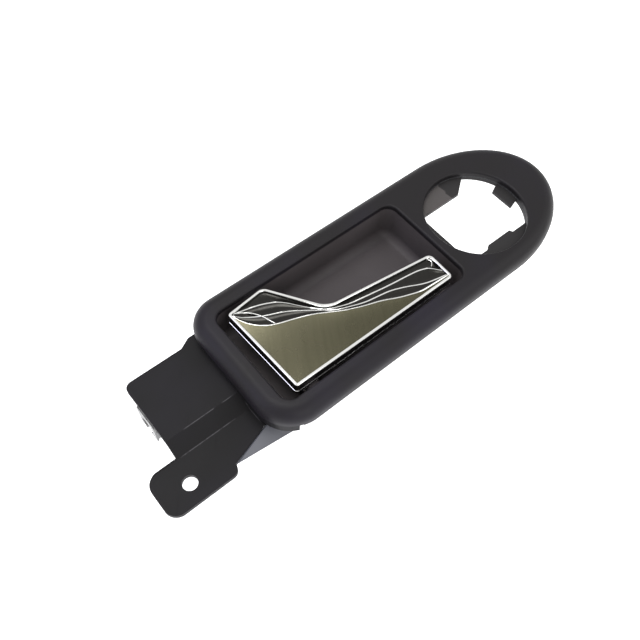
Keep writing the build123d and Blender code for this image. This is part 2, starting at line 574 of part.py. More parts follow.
# Spring-steel clip that wraps the socket's outer end and holds the conduit
with BuildPart() as cable_clip:
    with BuildSketch(Plane.YZ.offset(SOCKET_LEFT_X - CLIP_T)):
        with Locations((ARM_Y, CABLE_Z + CLIP_RISE)):
            RectangleRounded(2 * (SOCKET_HALF + CLIP_T), 2 * (SOCKET_HALF + CLIP_RISE), SOCKET_CORNER_R)
        with Locations((ARM_Y, CABLE_Z)):
            Circle(SOCKET_BORE_R + CLIP_BORE_GAP, mode=Mode.SUBTRACT)
        with Locations((ARM_Y, CABLE_Z - SOCKET_HALF)):
            Rectangle(SOCKET_SLOT + 2 * CLIP_SLOT_GAP, 2 * SOCKET_HALF, mode=Mode.SUBTRACT)
    extrude(amount=CLIP_T)
    with BuildSketch(Plane.XY.offset(CABLE_Z - CLIP_ARM_HEIGHT / 2)):
        for side in (-1, 1):
            arm_y = ARM_Y + side * (SOCKET_HALF + CLIP_T / 2)
            with Locations((SOCKET_LEFT_X - CLIP_T + CLIP_ARM / 2, arm_y)):
                Rectangle(CLIP_ARM, CLIP_T)
    extrude(amount=CLIP_ARM_HEIGHT)
cable_clip.part.label = "cable_clip"
export_step(cable_clip.part, "parts/cable_clip.step")

# Switch frame: the ring behind the bezel that the mirror switch clips into
with BuildPart() as switch_frame:
    with BuildSketch(Plane.XY.offset(FRAME_BACK_Z)):
        with Locations((SWITCH_X, SWITCH_Y)):
            Circle(FRAME_R)
    extrude(amount=FRAME_TOP_Z - FRAME_BACK_Z)
    for ear_x, ear_y in FRAME_SCREWS:
        ear_turn = degrees(atan2(ear_y - SWITCH_Y, ear_x - SWITCH_X))
        ear_reach = hypot(ear_x - SWITCH_X, ear_y - SWITCH_Y)
        with BuildSketch(Plane.XY.offset(FRAME_BACK_Z)):
            with Locations((ear_x, ear_y)):
                Circle(FRAME_EAR_R)
            with Locations(Location(((ear_x + SWITCH_X) / 2, (ear_y + SWITCH_Y) / 2, 0), (0, 0, ear_turn))):
                Rectangle(ear_reach, 2 * SCREW_BOSS_R)
            with Locations((SWITCH_X, SWITCH_Y)):
                Circle(SWITCH_R, mode=Mode.SUBTRACT)
        extrude(amount=FRAME_T)
    with BuildSketch(Plane.XY.offset(FRAME_BACK_Z)):
        add(switch_opening(0))
    extrude(amount=FRAME_T, mode=Mode.SUBTRACT)
    for place in FRAME_SCREWS:
        with Locations((*place, FRAME_TOP_Z)):
            Hole(SCREW_CLEARANCE_R, FRAME_T)
switch_frame.part.label = "switch_frame"
export_step(switch_frame.part, "parts/switch_frame.step")

# Foam gasket between the switch frame and the bezel's plate
with BuildPart() as switch_gasket:
    with BuildSketch(Plane.XY.offset(FRAME_TOP_Z)):
        with Locations((SWITCH_X, SWITCH_Y)):
            Circle(FRAME_R)
            Circle(SWITCH_R, mode=Mode.SUBTRACT)
        add(bezel_outline(0, ROLL_R), mode=Mode.INTERSECT)
    extrude(amount=GASKET_T)
switch_gasket.part.label = "switch_gasket"
export_step(switch_gasket.part, "parts/switch_gasket.step")

# Leaf springs on the switch frame's back, two of them, that grip the switch's body
LEAF_T = 0.5
LEAF_WIDTH = 6.0
with BuildPart() as switch_springs:
    for edge_x, edge_y, inward in (
        (SWITCH_X + PAD_LEFT, SWITCH_Y, Vector(1, 0, 0)),
        (SWITCH_X, SWITCH_Y + PAD_LOW, Vector(0, 1, 0)),
    ):
        leaf_normal = inward.cross(Vector(0, 0, 1))
        leaf_plane = Plane(origin=(edge_x, edge_y, FRAME_BACK_Z), x_dir=inward, z_dir=leaf_normal)
        with BuildSketch(leaf_plane.offset(-LEAF_WIDTH / 2)):
            with BuildLine():
                Polyline((-2.6, 0), (-0.9, 0), (0.4, -3.6), (-0.5, -6.0), (-0.9, -5.8), (-0.15, -3.6),
                         (-1.3, -LEAF_T), (-2.6, -LEAF_T), close=True)
            make_face()
        extrude(amount=LEAF_WIDTH)
switch_springs.part.label = "switch_springs"
export_step(switch_springs.part, "parts/switch_springs.step")

# Screws, driven from the back
body_screws = screw_group(BODY_SCREWS, DECK_BACK_Z, BODY_SCREW_LENGTH)
body_screws.label = "body_screws"
export_step(body_screws, "parts/body_screws.step")
frame_screws = screw_group(FRAME_SCREWS, FRAME_BACK_Z, FRAME_SCREW_LENGTH)
frame_screws.label = "frame_screws"
export_step(frame_screws, "parts/frame_screws.step")

# Spring clips on the bezel's ribs, which snap into the door panel
CLIP_SHEET = 0.5
CLIP_WIDTH = 7.0
CLIP_TOP_Z = 13.5
with BuildPart() as trim_clips:
    for rib_x, rib_y, rib_turn in CLIP_RIBS:
        across = radians(rib_turn + 90)
        clip_plane = Plane(origin=(rib_x, rib_y, 0), x_dir=(cos(across), sin(across), 0),
                           z_dir=(sin(across), -cos(across), 0)).offset(-CLIP_WIDTH / 2)
        half = RIB_T / 2
        outer = half + CLIP_SHEET
        with BuildSketch(clip_plane):
            with BuildLine():
                Polyline((-half, CLIP_TOP_Z), (-half, RIB_BACK_Z), (half, RIB_BACK_Z), (half, CLIP_TOP_Z),
                         (outer, CLIP_TOP_Z), (outer, RIB_BACK_Z - CLIP_SHEET),
                         (-outer, RIB_BACK_Z - CLIP_SHEET), (-outer, CLIP_TOP_Z), close=True)
            make_face()
        extrude(amount=CLIP_WIDTH)
trim_clips.part.label = "trim_clips"
export_step(trim_clips.part, "parts/trim_clips.step")

# Felt pads on the bowl's back, which stop it from rattling on the door
FELT_T = 1.5
FELT_X = (96.0, 126.0)
FELT_WIDTH = 12.0
FELT_HEIGHT = 24.0
with BuildPart() as felt_pads:
    with BuildSketch(Plane.XY.offset(BOWL_BACK_Z - FELT_T)):
        with Locations(*[(x, BOWL_MID_Y) for x in FELT_X]):
            RectangleRounded(FELT_WIDTH, FELT_HEIGHT, FELT_T)
    extrude(amount=FELT_T)
felt_pads.part.label = "felt_pads"
export_step(felt_pads.part, "parts/felt_pads.step")
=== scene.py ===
"""Studio scene of a car's interior release handle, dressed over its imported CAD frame.

The frame's origin is the fixing screw's hole. +X runs to the round end, +Y is up in the car and
+Z faces the cabin. Lengths are in metres.
"""

import json
import logging
import math
from dataclasses import dataclass, field
from enum import Enum, IntEnum
from typing import Any, Callable, Dict, List, Optional, Sequence, Tuple, Union

import bmesh
import bpy
from mathutils import Matrix, Vector

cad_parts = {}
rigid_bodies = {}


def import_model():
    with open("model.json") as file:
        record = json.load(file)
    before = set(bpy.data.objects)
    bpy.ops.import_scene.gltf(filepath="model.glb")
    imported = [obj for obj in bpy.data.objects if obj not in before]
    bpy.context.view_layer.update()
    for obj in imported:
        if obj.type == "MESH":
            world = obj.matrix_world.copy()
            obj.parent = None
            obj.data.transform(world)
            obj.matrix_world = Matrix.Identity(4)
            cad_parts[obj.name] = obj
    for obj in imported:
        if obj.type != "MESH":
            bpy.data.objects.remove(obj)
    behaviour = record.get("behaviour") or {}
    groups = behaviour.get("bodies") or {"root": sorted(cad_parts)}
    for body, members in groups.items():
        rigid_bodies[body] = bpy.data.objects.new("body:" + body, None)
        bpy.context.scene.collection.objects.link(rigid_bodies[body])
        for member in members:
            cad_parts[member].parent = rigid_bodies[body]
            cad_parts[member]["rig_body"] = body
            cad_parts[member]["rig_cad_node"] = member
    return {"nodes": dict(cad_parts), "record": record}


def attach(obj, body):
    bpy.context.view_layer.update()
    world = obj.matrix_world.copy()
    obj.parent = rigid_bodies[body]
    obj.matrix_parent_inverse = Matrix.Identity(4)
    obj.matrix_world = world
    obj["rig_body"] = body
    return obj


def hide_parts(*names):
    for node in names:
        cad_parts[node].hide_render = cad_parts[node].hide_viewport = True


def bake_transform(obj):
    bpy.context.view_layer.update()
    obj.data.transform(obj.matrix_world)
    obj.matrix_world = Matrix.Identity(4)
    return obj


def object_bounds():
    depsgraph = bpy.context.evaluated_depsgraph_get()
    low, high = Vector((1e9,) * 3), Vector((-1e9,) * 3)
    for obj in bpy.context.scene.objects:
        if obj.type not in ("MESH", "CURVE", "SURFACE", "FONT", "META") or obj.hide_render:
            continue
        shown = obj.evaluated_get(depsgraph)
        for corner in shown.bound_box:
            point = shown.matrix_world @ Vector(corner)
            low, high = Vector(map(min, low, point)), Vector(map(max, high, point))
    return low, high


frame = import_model()
CAD_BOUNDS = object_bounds()
LOG = logging.getLogger("handle")
Point = Tuple[float, float, float]
Flat = Tuple[float, float]
Colour = Tuple[float, float, float]
MM = 0.001


# ---------------------------------------------------------------- shader wiring


class Signal:
    """A value that flows through a material's nodes and can be used in sums."""

    def __init__(self, board: "Board", socket: bpy.types.NodeSocket) -> None:
        """Wraps an output socket.

        Args:
            board: The material's board that the socket's node is on.
            socket: The output socket.
        """
        self.board = board
        self.socket = socket

    def _sum(self, operation: str, first: Any, second: Any) -> "Signal":
        """Adds one Math node.

        Args:
            operation: The Math node's operation.
            first: A signal or a number.
            second: A signal or a number.

        Returns:
            The node's result.
        """
        return self.board.node("ShaderNodeMath", {"operation": operation}, {0: first, 1: second})

    def __add__(self, other: Any) -> "Signal":
        """This plus other."""
        return self._sum("ADD", self, other)

    def __radd__(self, other: Any) -> "Signal":
        """Other plus this."""
        return self._sum("ADD", other, self)

    def __sub__(self, other: Any) -> "Signal":
        """This less other."""
        return self._sum("SUBTRACT", self, other)

    def __rsub__(self, other: Any) -> "Signal":
        """Other less this."""
        return self._sum("SUBTRACT", other, self)

    def __mul__(self, other: Any) -> "Signal":
        """This times other."""
        return self._sum("MULTIPLY", self, other)

    def above(self, level: float, soft: float) -> "Signal":
        """A mask that rises from 0 to 1 as this passes a level.

        Args:
            level: Where the mask starts to rise.
            soft: The rise's width.

        Returns:
            The mask, held between 0 and 1.
        """
        settings = {"interpolation_type": "SMOOTHSTEP"}
        values = {"Value": self, "From Min": level, "From Max": level + soft, "To Min": 0.0, "To Max": 1.0}
        return self.board.node("ShaderNodeMapRange", settings, values)


class Board:
    """The node tree of one material, filled through one method."""

    def __init__(self, name: str) -> None:
        """Makes an empty material.

        Args:
            name: The material's name.
        """
        self.material = bpy.data.materials.new(name)
        self.material.use_nodes = True
        self.tree = self.material.node_tree
        self.tree.nodes.clear()

    def node(
        self,
        kind: str,
        settings: Optional[Dict[str, Any]] = None,
        values: Optional[Dict[Union[str, int], Any]] = None,
        out: Union[str, int] = 0,
    ) -> Signal:
        """Adds one node.

        Args:
            kind: The node's type.
            settings: The node's own properties, set first.
            values: Numbers, colours or signals for its inputs, by name or place.
            out: The output wanted.

        Returns:
            The wanted output.
        """
        made = self.tree.nodes.new(kind)
        for key, value in (settings or {}).items():
            setattr(made, key, value)
        for key, value in (values or {}).items():
            if isinstance(value, Signal):
                self.tree.links.new(value.socket, made.inputs[key])
            else:
                made.inputs[key].default_value = value
        return Signal(self, made.outputs[out])

    def place(self, stretch: Point = (1.0, 1.0, 1.0), turn: float = 0.0) -> Signal:
        """The object's own coordinates, stretched and turned.

        Args:
            stretch: Scale along X, Y and Z.
            turn: Turn about Z, in radians.

        Returns:
            The coordinates.
        """
        here = self.node("ShaderNodeTexCoord", out="Object")
        cells = tuple(1.0 / share for share in stretch)
        values = {"Vector": here, "Scale": cells, "Rotation": (0.0, 0.0, turn)}
        return self.node("ShaderNodeMapping", {"vector_type": "TEXTURE"}, values)

    def axes(self) -> Tuple[Signal, Signal, Signal]:
        """The object's own X, Y and Z, each as a value in metres."""
        here = self.node("ShaderNodeTexCoord", out="Object")
        split = self.node("ShaderNodeSeparateXYZ", {}, {"Vector": here})
        return tuple(Signal(self, output) for output in split.socket.node.outputs)

    def noise(self, scale: float, detail: float, where: Optional[Signal] = None) -> Signal:
        """Smooth noise between 0 and 1.

        Args:
            scale: Cells per metre.
            detail: Octaves.
            where: Coordinates, the object's own if left out.

        Returns:
            The noise's value.
        """
        values = {"Vector": where or self.place(), "Scale": scale, "Detail": detail, "Roughness": 0.55}
        return self.node("ShaderNodeTexNoise", {}, values)

    def blend(self, share: Any, first: Any, second: Any) -> Signal:
        """Mixes two colours.

        Args:
            share: How much of the second, 0 to 1.
            first: A colour or signal.
            second: A colour or signal.

        Returns:
            The mixed colour.
        """
        made = self.tree.nodes.new("ShaderNodeMix")
        made.data_type = "RGBA"
        for key, value in ((0, share), (6, first), (7, second)):
            if isinstance(value, Signal):
                self.tree.links.new(value.socket, made.inputs[key])
            elif key == 0:
                made.inputs[key].default_value = value
            else:
                made.inputs[key].default_value = (*value, 1.0)
        return Signal(self, made.outputs[2])

    def bump(self, height: Signal, strength: float, distance: float) -> Signal:
        """A bumped normal.

        Args:
            height: The height's signal.
            strength: How much of the bump shows.
            distance: Height in metres.

        Returns:
            The normal.
        """
        return self.node("ShaderNodeBump", {}, {"Strength": strength, "Distance": distance, "Height": height})

    def surface(self, **values: Any) -> bpy.types.Material:
        """Ends the board in a Principled surface.

        Args:
            values: Its inputs, spaces written as underscores.

        Returns:
            The finished material.
        """
        inputs = {}
        for key, value in values.items():
            name = " ".join(word.upper() if word == "ior" else word.capitalize() for word in key.split("_"))
            is_colour = isinstance(value, tuple) and len(value) == 3
            inputs[name] = (*value, 1.0) if is_colour else value
        shader = self.node("ShaderNodeBsdfPrincipled", {}, inputs)
        self.node_output(shader)
        return self.material

    def node_output(self, shader: Signal) -> None:
        """Links a shader to the material's output.

        Args:
            shader: The surface shader.
        """
        output = self.tree.nodes.new("ShaderNodeOutputMaterial")
        self.tree.links.new(shader.socket, output.inputs["Surface"])


# ---------------------------------------------------------------- finishes


@dataclass(frozen=True)
class RubbedLine:
    """A painted highlight: a fine lighter line along a fold or an edge, where the crease catches the light.
    """

    along: str
    level: float
    start: float
    end: float
    half: float = 0.28 * MM
    strength: float = 0.8
    colour: Colour = (0.085, 0.082, 0.088)

    def mask(self, board: Board) -> Signal:
        """Where the line lies, broken up a little along its length.

        Args:
            board: The material's board.

        Returns:
            The mask.
        """
        x, y, _ = board.axes()
        run, across = (x, y) if self.along == "x" else (y, x)
        band = across.above(self.level - self.half, self.half) * (1 - across.above(self.level, self.half))
        ends = run.above(self.start, 4 * MM) * (1 - run.above(self.end - 4 * MM, 4 * MM))
        return band * ends * board.noise(320.0, 2.0).above(0.36, 0.2)


@dataclass(frozen=True)
class DustyPatch:
    """A paler patch with a ragged edge on a ledge that a switch's body has worn."""

    low: Flat
    high: Flat
    colour: Colour = (0.16, 0.145, 0.14)

    def mask(self, board: Board) -> Signal:
        """Where the patch lies.

        Args:
            board: The material's board.

        Returns:
            The mask.
        """
        x, y, _ = board.axes()
        ragged = (board.noise(260.0, 3.0) - 0.5) * (3.0 * MM)
        fade = 0.5 * MM
        across = (x + ragged).above(self.low[0], fade) * (1 - (x + ragged).above(self.high[0], fade))
        return across * (y + ragged).above(self.low[1], fade) * (1 - (y + ragged).above(self.high[1], fade))


@dataclass(frozen=True)
class MouldedPlastic:
    """Injection-moulded plastic with a fine spark-eroded grain."""

    name: str
    colour: Colour
    sheen_colour: Colour
    roughness: float = 0.42
    grain: float = 0.25
    specular: float = 0.35
    rubbed: Tuple["RubbedLine", ...] = ()
    dusty: Optional["DustyPatch"] = None

    def material(self) -> bpy.types.Material:
        """The plastic's material."""
        board = Board(self.name)
        cloud = board.noise(28.0, 2.0)
        flow = board.noise(16.0, 3.0, board.place((1.0, 3.0, 1.0), 0.5))
        # A second colour is mottled in by noise; on the bezel its bluish tint is a painted sheen.
        colour = board.blend(cloud.above(0.35, 0.4), self.colour, self.sheen_colour)
        scuffs = board.noise(420.0, 2.0, board.place((0.08, 1.0, 1.0), 0.9)).above(0.66, 0.08)
        # Paint the crease highlights in as lighter lines.
        for line in self.rubbed:
            colour = board.blend(line.mask(board) * line.strength, colour, line.colour)
        if self.dusty:
            colour = board.blend(self.dusty.mask(board), colour, self.dusty.colour)
        grain = board.noise(2600.0, 2.0) * self.grain + board.noise(900.0, 1.0) * (0.5 * self.grain)
        roughness = self.roughness - 0.04 + flow * 0.12 + scuffs * 0.06
        normal = board.bump(grain, 0.35, 0.00004)
        return board.surface(
            base_color=colour, roughness=roughness, specular_ior_level=self.specular, normal=normal)


@dataclass(frozen=True)
class PlatedChrome:
    """Bright chrome plating over plastic. The lever also wears darker copies of it, whose colours are painted
    reflection and painted shade.
    """

    name: str
    colour: Colour
    dark: Colour
    roughness: float
    streak: float = 0.0

    def material(self) -> bpy.types.Material:
        """The plating's material."""
        board = Board(self.name)
        streaks = board.noise(700.0, 3.0, board.place((1.0, 0.04, 1.0), -0.55))
        specks = board.noise(900.0, 1.0).above(0.74, 0.03)
        mist = board.noise(45.0, 2.0)
        # The streaks pull the colour towards the dark one in long bands, a painted reflection on the lever's
        # panel, scoops and flank.
        share = streaks.above(0.38, 0.35) * self.streak + mist * 0.15
        colour = board.blend(share, self.colour, self.dark)
        roughness = self.roughness + mist * 0.06 + specks * 0.12
        normal = board.bump(streaks * 0.4 + mist, 0.12, 0.00005)
        return board.surface(base_color=colour, metallic=1.0, roughness=roughness, normal=normal)


@dataclass(frozen=True)
class DrawnSteel:
    """Drawn or stamped steel with fine lines along one way."""

    name: str
    colour: Colour
    tarnish: Colour
    roughness: float = 0.3

    def material(self) -> bpy.types.Material:
        """The steel's material."""
        board = Board(self.name)
        lines = board.noise(1800.0, 2.0, board.place((1.0, 0.06, 1.0), 0.2))
        stain = board.noise(190.0, 3.0).above(0.5, 0.3)
        colour = board.blend(stain, self.colour, self.tarnish)
        roughness = self.roughness + lines * 0.14 + stain * 0.1
        normal = board.bump(lines, 0.2, 0.00003)
        return board.surface(base_color=colour, metallic=1.0, roughness=roughness, normal=normal)


class Nap(Enum):
    """How a soft finish's surface is broken up."""

    SMOOTH = "smooth"
    CELLS = "cells"
    FIBRES = "fibres"


@dataclass(frozen=True)
class SoftStock:
    """Rubber, foam or felt."""

    name: str
    colour: Colour
    light: Colour
    nap: Nap
    roughness: float = 0.85

    def material(self) -> bpy.types.Material:
        """The soft stock's material."""
        board = Board(self.name)
        if self.nap is Nap.CELLS:
            relief = board.node("ShaderNodeTexVoronoi", {}, {"Vector": board.place(), "Scale": 1500.0})
            height = 0.0005
        elif self.nap is Nap.FIBRES:
            relief = board.noise(1300.0, 6.0, board.place((1.0, 0.3, 1.0), 0.7))
            height = 0.0004
        else:
            relief = board.noise(700.0, 3.0)
            height = 0.00008
        colour = board.blend(relief, self.colour, self.light)
        return board.surface(
            base_color=colour, roughness=self.roughness, specular_ior_level=0.25,
            normal=board.bump(relief, 0.6, height))


# The bezel's bluish second colour is a painted sheen: the rim's blue-violet reflection, mottled over the
# whole moulding.
BEZEL_BLACK = MouldedPlastic(
    "satin_black", (0.0098, 0.0086, 0.0096), (0.0118, 0.0100, 0.0160), 0.44, 0.25, 0.20)
CARRIER_BLACK = MouldedPlastic(
    "moulded_black", (0.0078, 0.0073, 0.0078), (0.0100, 0.0092, 0.0115), 0.52, 0.35, 0.15,
    # Painted highlights: lighter lines along the deck's two folds and one edge.
    rubbed=(
        RubbedLine("x", 17.3 * MM, 8 * MM, 34 * MM),
        RubbedLine("x", 10.5 * MM, 2 * MM, 30 * MM),
        RubbedLine("y", 35.6 * MM, 2 * MM, 22 * MM),
    ))
# The bowl's colour is raised far above the bezel's black as painted fill light, lifting the shade inside the
# recess.
BOWL_PAINTED_FILL = MouldedPlastic("bowl_black_painted_fill", (0.064, 0.056, 0.058), (0.074, 0.065, 0.068), 0.55, 0.4, 0.25)
WEB_GREY = MouldedPlastic("web_grey", (0.086, 0.089, 0.103), (0.116, 0.119, 0.135), 0.40, 0.2, 0.4)
CORE_BLACK = MouldedPlastic("core_black", (0.014, 0.014, 0.014), (0.020, 0.020, 0.020), 0.55, 0.5, 0.3)
ACETAL = MouldedPlastic("acetal_natural", (0.70, 0.68, 0.61), (0.76, 0.74, 0.68), 0.33, 0.1, 0.5)
FRAME_GREY = MouldedPlastic(
    "frame_grey", (0.0200, 0.0188, 0.0192), (0.0245, 0.0230, 0.0235), 0.5, 0.4, 0.22,
    dusty=DustyPatch((149.0 * MM, 31.0 * MM), (167.0 * MM, 41.0 * MM), (0.066, 0.060, 0.059)))
# The bright copy doubles as the painted highlight on the lever's rim and crests; the three below are darker
# copies: the panel's dark olive and the flank's streaked dark are painted reflection, the scoops' near-black
# is painted shade.
BRIGHT = PlatedChrome("chrome_edge", (0.93, 0.93, 0.91), (0.70, 0.70, 0.68), 0.10)
SATIN = PlatedChrome("chrome_panel_painted_reflection", (0.098, 0.092, 0.060), (0.070, 0.067, 0.042), 0.24, 0.35)
HOLLOW = PlatedChrome("chrome_hollow_painted_shade", (0.040, 0.039, 0.036), (0.024, 0.023, 0.022), 0.18, 0.2)
FLANK = PlatedChrome("chrome_flank_painted_reflection", (0.34, 0.34, 0.33), (0.07, 0.07, 0.07), 0.14, 0.6)
ZINC = DrawnSteel("plated_steel", (0.56, 0.54, 0.44), (0.44, 0.41, 0.31))
SPRING = DrawnSteel("spring_steel", (0.36, 0.36, 0.37), (0.16, 0.16, 0.17), 0.2)
# The clip's steel is darkened well below the spring steel as painted shade, for the dark gaps in and round
# the clip.
CLIP_PAINTED_SHADE = DrawnSteel("clip_steel_painted_shade", (0.150, 0.150, 0.150), (0.030, 0.030, 0.032), 0.24)
RUBBER = SoftStock("rubber_black", (0.012, 0.012, 0.012), (0.024, 0.024, 0.024), Nap.SMOOTH, 0.7)
FOAM = SoftStock("foam", (0.028, 0.028, 0.030), (0.060, 0.060, 0.062), Nap.CELLS, 0.95)
FELT = SoftStock("felt", (0.055, 0.055, 0.060), (0.13, 0.13, 0.14), Nap.FIBRES, 0.95)
SLOT_FINISH = {
    "satin_black": BEZEL_BLACK,
    "moulded_black": CARRIER_BLACK,
    "web_grey": WEB_GREY,
    "chrome": BRIGHT,
    "core_black": CORE_BLACK,
    "acetal_natural": ACETAL,
    "plated_steel": ZINC,
    "spring_steel": SPRING,
    "rubber_black": RUBBER,
    "frame_grey": FRAME_GREY,
    "foam": FOAM,
    "felt": FELT,
}
# Per-node overrides whose colours hold painted light: fill light lifting the bowl's shade, and shade on the
# clip.
NODE_LIGHT_SHADE_OVERRIDES = {"finger_bowl": BOWL_PAINTED_FILL, "cable_clip": CLIP_PAINTED_SHADE}
NODE_SLOT = {entry["node"]: entry["material_slot"] for entry in frame["record"]["subparts"]}
NODE_BODY = {node: body for body, nodes in frame["record"]["behaviour"]["bodies"].items() for node in nodes}


# ---------------------------------------------------------------- bench tools


class Bench:
    """Selects and shapes one piece at a time with Blender's own operators."""

    @staticmethod
    def clear() -> None:
        """Deselects every object."""
        if bpy.context.object and bpy.context.object.mode != "OBJECT":
            bpy.ops.object.mode_set(mode="OBJECT")
        bpy.ops.object.select_all(action="DESELECT")

    @staticmethod
    def hold(piece: bpy.types.Object) -> None:
        """Makes one piece the only selected and active one.

        Args:
            piece: The piece.
        """
        Bench.clear()
        piece.select_set(True)
        bpy.context.view_layer.objects.active = piece

    @staticmethod
    def edit(piece: bpy.types.Object, mode: str = "FACE") -> None:
        """Opens a piece in edit mode with nothing selected.

        Args:
            piece: The piece.
            mode: VERT, EDGE or FACE.
        """
        Bench.hold(piece)
        bpy.ops.object.mode_set(mode="EDIT")
        bpy.ops.mesh.select_mode(type=mode)
        bpy.ops.mesh.select_all(action="DESELECT")

    @staticmethod
    def close() -> None:
        """Goes back to object mode."""
        bpy.ops.object.mode_set(mode="OBJECT")

    @staticmethod
    def pick(piece: bpy.types.Object, kind: str, wanted: Callable[[Any], bool]) -> None:
        """Selects elements of the piece in edit mode by a test.

        Args:
            piece: The piece in edit mode.
            kind: verts, edges or faces.
            wanted: The test on a bmesh element.
        """
        mesh = bmesh.from_edit_mesh(piece.data)
        for element in getattr(mesh, kind):
            if wanted(element):
                element.select_set(True)
        mesh.select_flush_mode()
        bmesh.update_edit_mesh(piece.data)

    @staticmethod
    def finish(piece: bpy.types.Object, name: str, materials: Sequence[bpy.types.Material]) -> None:
        """Names a piece, puts its place into its mesh and gives it its materials.

        Args:
            piece: The piece.
            name: Its name.
            materials: Its materials in slot order.
        """
        Bench.hold(piece)
        bpy.ops.object.transform_apply(location=True, rotation=True, scale=True)
        piece.name = name
        piece.data.name = name
        for material in materials:
            piece.data.materials.append(material)

    @staticmethod
    def smooth(piece: bpy.types.Object, degrees: float = 32.0) -> None:
        """Shades a piece smooth, with edges sharper than an angle kept crisp.

        Args:
            piece: The piece.
            degrees: The angle.
        """
        Bench.hold(piece)
        bpy.ops.object.shade_smooth_by_angle(angle=math.radians(degrees), keep_sharp_edges=True)

    @staticmethod
    def apply(piece: bpy.types.Object, kind: str, **settings: Any) -> None:
        """Adds a modifier and applies it.

        Args:
            piece: The piece.
            kind: The modifier's type.
            settings: The modifier's settings.
        """
        Bench.hold(piece)
        modifier = piece.modifiers.new(kind.lower(), kind)
        for key, value in settings.items():
            setattr(modifier, key, value)
        bpy.ops.object.modifier_apply(modifier=modifier.name)

    @staticmethod
    def join(pieces: Sequence[bpy.types.Object]) -> bpy.types.Object:
        """Joins pieces into the first one.

        Args:
            pieces: The pieces.

        Returns:
            The joined piece.
        """
        Bench.clear()
        for piece in pieces:
            piece.select_set(True)
        bpy.context.view_layer.objects.active = pieces[0]
        bpy.ops.object.join()
        return pieces[0]


def finish_of(node: str) -> Any:
    """The finish that a node wears.

    Args:
        node: The CAD node.

    Returns:
        Its own override, or its slot's finish; the overrides hold painted fill light on the bowl and painted
        shade on the clip.
    """
    return NODE_LIGHT_SHADE_OVERRIDES.get(node, SLOT_FINISH[NODE_SLOT[node]])


def place_piece(piece: bpy.types.Object, node: str) -> None:
    """Lets a piece stand for a CAD node and ride on its body.

    Args:
        piece: The finished piece.
        node: The CAD node.
    """
    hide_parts(node)
    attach(piece, NODE_BODY[node])
    LOG.info("%s stands for %s, %d faces", piece.name, node, len(piece.data.polygons))


@dataclass
class SoftenedMoulding:
    """A moulding with its CAD shape and softened edges that catch the light."""

    node: str
    edge: float = 0.25 * MM
    segments: int = 2
    angle: float = 32.0

    def build(self) -> bpy.types.Object:
        """Copies the node's shape, merges its loose triangles and rounds its edges.

        Returns:
            The piece.
        """
        source = frame["nodes"][self.node]
        Bench.hold(source)
        bpy.ops.object.duplicate()
        piece = bpy.context.object
        piece.parent = None
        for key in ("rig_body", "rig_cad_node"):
            if key in piece:
                del piece[key]
        piece.data.materials.clear()
        Bench.edit(piece, "VERT")
        bpy.ops.mesh.select_all(action="SELECT")
        bpy.ops.mesh.remove_doubles(threshold=2e-6)
        bpy.ops.mesh.customdata_custom_splitnormals_clear()
        bpy.ops.mesh.dissolve_limited(angle_limit=math.radians(0.4))
        Bench.close()
        if self.edge > 0:
            Bench.apply(
                piece, "BEVEL", width=self.edge, segments=self.segments, limit_method="ANGLE",
                angle_limit=math.radians(self.angle), use_clamp_overlap=True, harden_normals=False,
                miter_outer="MITER_ARC")
        Bench.finish(piece, self.node + "_moulding", [finish_of(self.node).material()])
        Bench.smooth(piece)
        Bench.apply(piece, "WEIGHTED_NORMAL", keep_sharp=True, weight=80)
        place_piece(piece, self.node)
        return piece


# ---------------------------------------------------------------- the lever


class Plating(IntEnum):
    """Places of the lever's chrome copies among its materials: the bright one for painted highlights, the
    darker ones for painted reflection and painted shade.
    """

    BRIGHT = 0
    SATIN = 1
    HOLLOW = 2
    FLANK = 3


